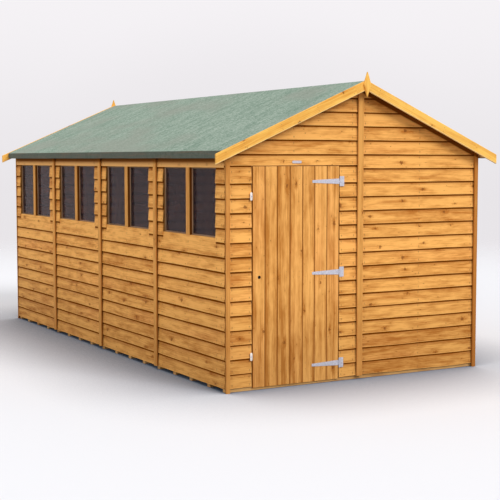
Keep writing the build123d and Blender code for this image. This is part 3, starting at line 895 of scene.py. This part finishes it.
def knot_field(g, place, density, sizes, chance):
    """Knots scattered along boards: their soft halo, their core, and how far they bend the grain."""
    cell = g.vector("MULTIPLY", place, (*density, 0.0))
    found = g.node("TexVoronoi", {"Vector": cell, "Scale": 1.0}, voronoi_dimensions="2D")
    blur = g.node("TexNoise", {"Vector": place, "Scale": 60.0, "Detail": 1.0}).outputs["Color"]
    cell = g.vector("MULTIPLY_ADD", blur, (0.06, 0.24, 0.0), cell)
    away = g.vector("SUBTRACT", cell, found.outputs["Position"])
    away = g.vector("MULTIPLY", away, (1 / density[0], 1 / density[1], 0.0))
    luck, size, _ = g.split(found.outputs["Color"])
    present = g.math("LESS_THAN", luck, chance)
    radius = g.remap(size, 0.0, 1.0, *sizes, smooth=False)

    def within(drawn, outer, inner):
        reach = g.vector("LENGTH", g.vector("MULTIPLY", away, (drawn, 1.0, 0.0)))
        return g.math("MULTIPLY", present, g.remap(g.math("DIVIDE", reach, radius), outer, inner))

    halo = within(0.35, 2.4, 0.3)
    core = within(0.7, 1.15, 0.6)
    return halo, core, g.math("MULTIPLY", halo, g.split(away)[1])


def growth_rings(g, place, bend):
    """Fine lines along the board that drift, and bend round the knots."""
    drift = g.math("MULTIPLY", g.noise(place, (1.0, 6.0, 6.0), 2.0), 0.05)
    line = g.math("ADD", g.math("SUBTRACT", g.split(place)[1], bend), drift)
    return g.math("MULTIPLY_ADD", g.math("SINE", g.math("MULTIPLY", line, RING_DENSITY)), 0.5, 0.5)


def wood(name, pale, deep, axes=None, knots=0.5, spread=1.0, streaks=(1.5, 15.0), base=0.38, edge=None):
    """Softwood. Its grain follows a board's attributes, or the named axes in a CAD node."""
    g = new_graph(name)
    here = g.split(g.here())
    if axes:
        place = g.join(*[here["XYZ".index(axis)] for axis in axes])
        tone = g.noise(place, (0.35, 4.0, 4.0))
    else:
        place = g.attribute("grain")
        tone, foot, lap_shade_line = g.split(g.attribute("board"))
    halo, core, bend = knot_field(g, place, KNOT_DENSITY, KNOT_RADII, knots)
    pin_halo, pin_core, _ = knot_field(g, place, PIN_DENSITY, PIN_RADII, 0.8 * knots)
    rings = growth_rings(g, place, bend)
    fibre = g.noise(place, (6.0, 210.0, 210.0), 2.0)
    streak = g.noise(place, (streaks[0], streaks[1], streaks[1]), 4.0, 0.65, 0.4)
    patches = g.noise(place, (6.0, 18.0, 18.0), 3.0, 0.6)
    clouds = g.noise(place, (1.1, 2.5, 2.5), 2.0)
    blend = g.sway(base, (streak, 2.2 * spread), (rings, 0.16), (fibre, 0.75), (patches, 1.3 * spread),
                   (clouds, 0.6 * spread), (tone, 0.36 * spread))
    blend = g.math("MULTIPLY_ADD", halo, 0.55, blend)
    blend = g.math("MULTIPLY_ADD", pin_halo, 0.2, blend)
    paint = g.mix(blend, pale, deep)
    # Painted shade: the wood is darker towards the ground
    ground_shade = g.remap(here[2], GROUND_SHADE_HEIGHT, 0.0, 1.0, 1.0 - GROUND_SHADE)
    paint = g.mix(1.0, paint, g.join(ground_shade, ground_shade, ground_shade), "MULTIPLY")
    redder = g.remap(g.noise(place, (0.8, 3.0, 3.0)), 0.5, 0.75, 0.0, 0.5)
    paint = g.mix(redder, paint, g.mix(1.0, paint, RED_TINT, "MULTIPLY"))
    knot = g.mix(g.remap(core, 0.3, 1.0), KNOT_RIM, KNOT_HEART)
    paint = g.mix(g.math("MULTIPLY", core, 0.75), paint, knot)
    paint = g.mix(g.math("MULTIPLY", pin_core, 0.55), paint, PIN_KNOT)
    if axes:
        shine = WOOD_SHINE
        # Painted shade on the framing in the window reveals, outside the panes
        paint = g.mix(g.remap(here[0], *REVEAL_SHADE_X, 0.0, 0.85), paint, REVEAL_SHADE)
    else:
        # A negative tone, used by the headers, paints the wood paler as painted bounced light
        paint = g.mix(g.remap(tone, 0.0, -1.0), paint, HEADER_BOUNCE_LIGHT)
        # A painted highlight along each piece's lower edge
        paint = g.mix(g.remap(foot, 0.0048, 0.0022, 0.0, 0.7), paint, edge or pale)
        paint, shine = nail_marks_and_painted_shade(g, paint, foot, lap_shade_line)
    rough = g.sway(0.62, (fibre, 0.2))
    bump = g.math("MULTIPLY_ADD", rings, 0.25, g.math("ADD", fibre, g.math("MULTIPLY", core, -0.5)))
    inputs = {"Base Color": paint, "Roughness": rough, "Specular IOR Level": shine}
    return g.surface(inputs, bump, 0.35, 0.0012)


def nail_marks_and_painted_shade(g, paint, foot, lap_shade_line):
    """Nail stain, and the painted shade at laps, grooves and sides and under the roof; also the shine, less
    where that painted shade lies.
    """
    nail, roof_shade_line, _ = g.split(g.attribute("marks"))
    paint = g.mix(nail_marks(g, foot, nail), paint, NAIL_STAIN)
    # Soft and firm painted shade at laps, grooves, sides and under the roof
    soft = g.remap(lap_shade_line, 6.0, 1.0, 0.0, 0.4), g.remap(roof_shade_line, 2.8, 1.2, 0.0, 0.35)
    paint = g.mix(g.math("MAXIMUM", *soft), paint, SOFT_SHADE_COLOUR)
    hard_shade = g.remap(lap_shade_line, 1.25, 0.75, 0.0, 0.94), g.remap(roof_shade_line, 1.6, 0.5, 0.0, 0.9)
    painted_shade = g.math("MAXIMUM", *hard_shade)
    return g.mix(painted_shade, paint, HARD_SHADE_COLOUR), g.remap(painted_shade, 0.0, 1.0, WOOD_SHINE, 0.0)


def nail_marks(g, foot, away):
    """Dark runs of stain and rust below each nail."""
    marks = 0.0
    for lift in NAIL_LIFTS:
        drop = g.math("MULTIPLY", g.math("SUBTRACT", foot, lift - 0.003), 0.5)
        reach = g.vector("LENGTH", g.join(away, drop, 0.0))
        marks = g.math("MAXIMUM", marks, g.remap(reach, 0.0075, 0.002, 0.0, 0.28))
    return marks


def felt_material():
    """Green mineral felt: fine chippings, paler and darker drifts, and painted shade on the fold."""
    g = new_graph("mineral_felt")
    place = g.attribute("grain")
    folded = g.split(g.attribute("board"))[1]
    chips = g.noise(place, (420.0, 420.0, 420.0), 2.0, 0.7)
    clumps = g.noise(place, (34.0, 60.0, 60.0), 3.0, 0.7)
    runs = g.noise(place, (14.0, 3.0, 3.0), 3.0, 0.6, 0.5)
    drifts = g.noise(place, (1.1, 2.2, 2.2), 3.0)
    blend = g.sway(0.45, (chips, 1.6), (clumps, 2.6), (runs, 1.2))
    paint = g.mix(blend, (0.140, 0.222, 0.165), (0.37, 0.44, 0.37))
    dull = g.remap(drifts, 0.42, 0.70, 0.0, 0.55)
    paint = g.mix(dull, paint, (0.275, 0.285, 0.240))
    rusty = g.remap(g.noise(place, (3.0, 1.0, 60.0), 3.0, 0.6), 0.45, 0.65, 0.0, 0.75)
    # Painted shade on the fold, with brown drifts
    fold_painted_shade = g.mix(rusty, (0.075, 0.080, 0.062), (0.120, 0.085, 0.055))
    paint = g.mix(g.math("MULTIPLY", folded, 0.85), paint, fold_painted_shade)
    bump = g.math("ADD", chips, g.math("MULTIPLY", clumps, 0.5))
    inputs = {"Base Color": paint, "Roughness": 0.92, "Specular IOR Level": 0.2}
    return g.surface(inputs, bump, 0.5, 0.0012)


def strand_board():
    """Roof sheet of pressed wood strands, lying every way."""
    g = new_graph("strand_board")
    place = g.here()
    picks = []
    for stretch, channel in (((22.0, 55.0, 22.0), 0), ((60.0, 20.0, 60.0), 1)):
        inputs = {"Vector": g.vector("MULTIPLY", place, stretch), "Scale": 1.0}
        flakes = g.node("TexVoronoi", inputs).outputs["Color"]
        picks.append(g.split(flakes)[channel])
    blend = g.math("MULTIPLY_ADD", picks[0], 0.6, g.math("MULTIPLY", picks[1], 0.4))
    paint = g.mix(blend, (0.42, 0.22, 0.09), (0.74, 0.47, 0.24))
    return g.surface({"Base Color": paint, "Roughness": 0.75}, blend, 0.4, 0.001)


def metal(name, pale, deep, roughness, metallic=0.75, specular=0.5):
    """Coated or bare metal with a faint patchy spangle."""
    g = new_graph(name)
    place = g.here()
    spangle = g.node("TexVoronoi", {"Vector": place, "Scale": 210.0}).outputs["Color"]
    cloud = g.noise(place, (60.0, 60.0, 60.0), 3.0)
    blend = g.math("MULTIPLY_ADD", g.split(spangle)[0], 0.5, g.math("MULTIPLY", cloud, 0.5))
    paint = g.mix(blend, deep, pale)
    rough = g.sway(roughness, (cloud, 0.25))
    inputs = {"Base Color": paint, "Metallic": metallic, "Roughness": rough}
    inputs["Specular IOR Level"] = specular
    return g.surface(inputs, cloud, 0.1, 0.0004)


def glass():
    """Clear glazing with a smoky tint and a little dust."""
    g = new_graph("window_glass")
    place = g.here()
    dust = g.noise(place, (5.0, 5.0, 5.0), 4.0)
    rough = g.remap(dust, 0.3, 0.8, 0.08, 0.14)
    inputs = {"Base Color": (0.40, 0.31, 0.335), "Roughness": rough, "IOR": 1.11}
    inputs["Transmission Weight"] = 0.95
    return g.surface(inputs, dust, 0.02, 0.0005)


def seen_rays(g):
    """One for rays that show the floor or backdrop itself, and none for those that light the shed."""
    rays = g.node("LightPath").outputs
    mirrored = g.math("MAXIMUM", rays["Is Glossy Ray"], rays["Is Transmission Ray"])
    return g.math("MAXIMUM", rays["Is Camera Ray"], mirrored)


def floor_material():
    """Pale floor with painted shadow close to the shed, fading out far off, that throws little light back.
    """
    g = new_graph("studio_floor")
    place = g.here()
    far = g.remap(g.vector("LENGTH", place), *FLOOR_FADE)
    crowded = g.node("AmbientOcclusion", {"Distance": SHADE_REACH}, samples=8).outputs["AO"]
    # Painted shadow: darker where the shed hems the floor in
    seen = g.mix(g.remap(crowded, 0.36, 1.0, smooth=False), FLOOR_PAINTED_SHADOW, FLOOR_SEEN)
    paint = g.mix(seen_rays(g), FLOOR_BOUNCE, seen)
    matt = g.node("BsdfDiffuse", {"Color": paint})
    clear = g.node("BsdfTransparent")
    mixed = g.node("MixShader", {0: far, 1: matt.outputs[0], 2: clear.outputs[0]})
    g.node("OutputMaterial", {"Surface": mixed.outputs[0]})
    return g.owner


def sun(name, direction, strength, spread):
    """A soft lamp that shines from a direction."""
    lamp = bpy.data.lights.new(name, "SUN")
    lamp.energy = strength
    lamp.angle = math.radians(spread)
    add(name, lamp).rotation_euler = Vector(direction).to_track_quat("Z", "Y").to_euler()


def stage():
    """Floor, backdrop and lamps."""
    half = 60.0
    corners = [(-half, -half, 0), (half, -half, 0), (half, half, 0), (-half, half, 0)]
    mesh = bpy.data.meshes.new("floor")
    mesh.from_pydata(corners, [], [(0, 1, 2, 3)])
    mesh.materials.append(floor_material())
    ground = add("floor", mesh)

    world = bpy.data.worlds.new("studio")
    bpy.context.scene.world = world
    g = Graph(world)
    toward = g.node("TexCoord").outputs["Generated"]
    up = g.split(toward)[2]
    dome = g.remap(up, 0.0, 1.0, *DOME, smooth=False)
    dip = g.remap(g.vector("DOT_PRODUCT", toward, BACKDROP_DIP), 0.975, 1.0)
    sky = g.mix(g.remap(up, -0.05, 0.16), BACKDROP_LOW, BACKDROP_HIGH)
    sky = g.mix(g.math("MULTIPLY", dip, 0.7), sky, BACKDROP_LOW)
    ambient = g.node("Background", {"Color": (1, 1, 1), "Strength": dome})
    backdrop = g.node("Background", {"Color": sky, "Strength": 1.0})
    mixed = g.node("MixShader", {0: seen_rays(g), 1: ambient.outputs[0], 2: backdrop.outputs[0]})
    g.node("OutputWorld", {"Surface": mixed.outputs[0]})
    sun("key", KEY_FROM, KEY_STRENGTH, KEY_SPREAD)
    sun("fill", FILL_FROM, FILL_STRENGTH, FILL_SPREAD)


def camera():
    """The camera at the photograph's place and angle."""
    lens = bpy.data.cameras.new("camera")
    lens.sensor_width = SENSOR
    lens.lens = LENS
    eye = add("camera", lens)
    eye.location = CAMERA_PLACE
    eye.rotation_euler = (math.radians(90 - CAMERA_DIP), 0.0, math.radians(CAMERA_TURN))
    bpy.context.scene.camera = eye


# Camera: metres, degrees below the level and round from +Y, and millimetres
CAMERA_PLACE = (-5.313, -10.0216, 1.7522)
CAMERA_DIP, CAMERA_TURN = 4.44, -29.58
LENS, SENSOR = 84.34, 36.0

# Light: the dome's strength at the horizon and overhead, two soft lamps, the floor, the backdrop
DOME = (0.44, 1.05)
KEY_FROM, KEY_STRENGTH, KEY_SPREAD = (0.25, -0.78, 0.55), 1.75, 25.0
FILL_FROM, FILL_STRENGTH, FILL_SPREAD = (-0.93, -0.28, 0.20), 0.80, 30.0
FLOOR_BOUNCE = (0.30, 0.30, 0.30)
FLOOR_SEEN = (0.80, 0.80, 0.83)
FLOOR_PAINTED_SHADOW = (0.14, 0.18, 0.25)
FLOOR_FADE = (5.0, 16.0)
SHADE_REACH = 1.3
BACKDROP_LOW = (0.81, 0.785, 0.81)
BACKDROP_HIGH = (0.92, 0.895, 0.92)
BACKDROP_DIP = (0.492, 0.867, -0.077)

# Painted shade near the ground: how far up and how much the walls are darker, and how much darker the right
# panel's low boards are
GROUND_SHADE_HEIGHT, GROUND_SHADE = 1.0, 0.27
RIGHT_GROUND_SHADE = 0.5

# Places for a knot to a metre along and across, the knots' radii in metres, and the growth lines'
# angle in radians to a metre
KNOT_DENSITY, KNOT_RADII = (2.4, 8.5), (0.006, 0.015)
PIN_DENSITY, PIN_RADII = (5.5, 17.0), (0.0022, 0.0045)
RING_DENSITY = 420.0

# Colours of knots, nail stain, painted shade, painted shade in window reveals, a red tint, and painted
# bounced light
KNOT_RIM, KNOT_HEART, PIN_KNOT = (0.36, 0.135, 0.025), (0.20, 0.062, 0.010), (0.20, 0.065, 0.012)
NAIL_STAIN = (0.17, 0.06, 0.012)
SOFT_SHADE_COLOUR, HARD_SHADE_COLOUR = (0.30, 0.085, 0.008), (0.155, 0.036, 0.001)
REVEAL_SHADE = (0.24, 0.095, 0.018)
RED_TINT = (1.0, 0.88, 0.95)
HEADER_BOUNCE_LIGHT = (1.0, 0.57, 0.21)

# Strength of wood's reflections, and the two X between which framing takes painted shade past the panes
WOOD_SHINE = 0.1
REVEAL_SHADE_X = (0.004 - HALF_WIDTH + GLASS_DEPTH, GLASS_DEPTH - HALF_WIDTH)

# Materials
FRAME_PALE, FRAME_DEEP = (0.86, 0.52, 0.22), (0.55, 0.27, 0.09)
CLADDING = wood("cladding_wood", (0.94, 0.465, 0.120), (0.50, 0.175, 0.026), knots=0.45, spread=1.05,
                streaks=(3.0, 27.0), base=0.29)
STRIPS = wood("strip_wood", (0.92, 0.46, 0.12), (0.55, 0.215, 0.04), knots=0.25, streaks=(1.0, 30.0),
              base=0.26)
# Beads are painted dark brown, as painted shade in the window recesses
SHADED_BEADS = wood("bead_wood_painted_shade", (0.32, 0.19, 0.105), (0.14, 0.075, 0.035), knots=0.1)
# Bargeboards take a paler colour for the painted highlight along their lower edge
BARGE = wood("barge_wood", (0.98, 0.57, 0.125), (0.72, 0.30, 0.045), knots=0.6, streaks=(1.2, 30.0),
             edge=(1.0, 0.74, 0.34))
DOOR = wood("door_wood", (0.92, 0.455, 0.125), (0.50, 0.185, 0.030), knots=0.55, spread=1.2,
            streaks=(0.9, 24.0))
FRAMING_ALONG = wood("frame_wood", FRAME_PALE, FRAME_DEEP, knots=0.4)
FRAMING_Z, FRAMING_Y, FRAMING_X = [
    wood(f"frame_wood_{way}", FRAME_PALE, FRAME_DEEP, axes, knots=0.4)
    for way, axes in (("upright", "ZXY"), ("long", "YZX"), ("cross", "XZY"))
]
BEARERS_WOOD = wood("bearer_wood", (0.80, 0.46, 0.17), (0.42, 0.19, 0.06), knots=0.4)
FELT_SKIN = felt_material()
SHEET = strand_board()
STEEL = metal("galvanised_steel", (0.68, 0.68, 0.75), (0.40, 0.40, 0.47), 0.45)
BUTTON = metal("button_steel", (0.93, 0.84, 0.77), (0.76, 0.68, 0.61), 0.4, 0.3)
PLATE = metal("plate_enamel", (0.66, 0.63, 0.68), (0.50, 0.47, 0.52), 0.4, 0.2)
NAILS = metal("nail_steel", (0.36, 0.20, 0.08), (0.18, 0.09, 0.035), 0.6, 0.3)
CLOUTS = metal("clout_steel", (0.16, 0.165, 0.15), (0.09, 0.095, 0.085), 0.6, 0.4)
BLACK = metal("black_metal", (0.006, 0.004, 0.004), (0.002, 0.0015, 0.0015), 0.65, 0.0, 0.15)
GLASS = glass()

CAD_FINISHES = (
    (FRAMING_Z, "side_wall_studs", "gable_studs"),
    (FRAMING_Y, "side_wall_rails", "roof_purlins", "eaves_battens"),
    (FRAMING_X, "gable_rails", "truss_rafters_left", "truss_rafters_right", "truss_ties"),
    (SHEET, "roof_sheet_left", "roof_sheet_right"),
    (GLASS, "window_panes"),
    (STEEL, "hinge_straps", "hinge_plates", "turn_button_screws"),
)


def finish_cad_nodes():
    """Give each CAD node that shows its material."""
    for material, *nodes in CAD_FINISHES:
        for node in nodes:
            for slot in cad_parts[node].material_slots:
                slot.material = material


side_wall("window_wall", -1, True, "window_wall_cladding", "window_wall_piers")
side_wall("plain_wall", 1, False, "plain_wall_cladding")
front_wall()
rear_wall()
cover_strips()
bargeboards()
finials()
felt()
door_boards()
door_frame()
deck()
bearers()
window_bars()
hinge_screws()
turn_buttons()
key_hole()
blank_plate()
finish_cad_nodes()
stage()
camera()

bpy.context.scene.view_settings.view_transform = "Standard"
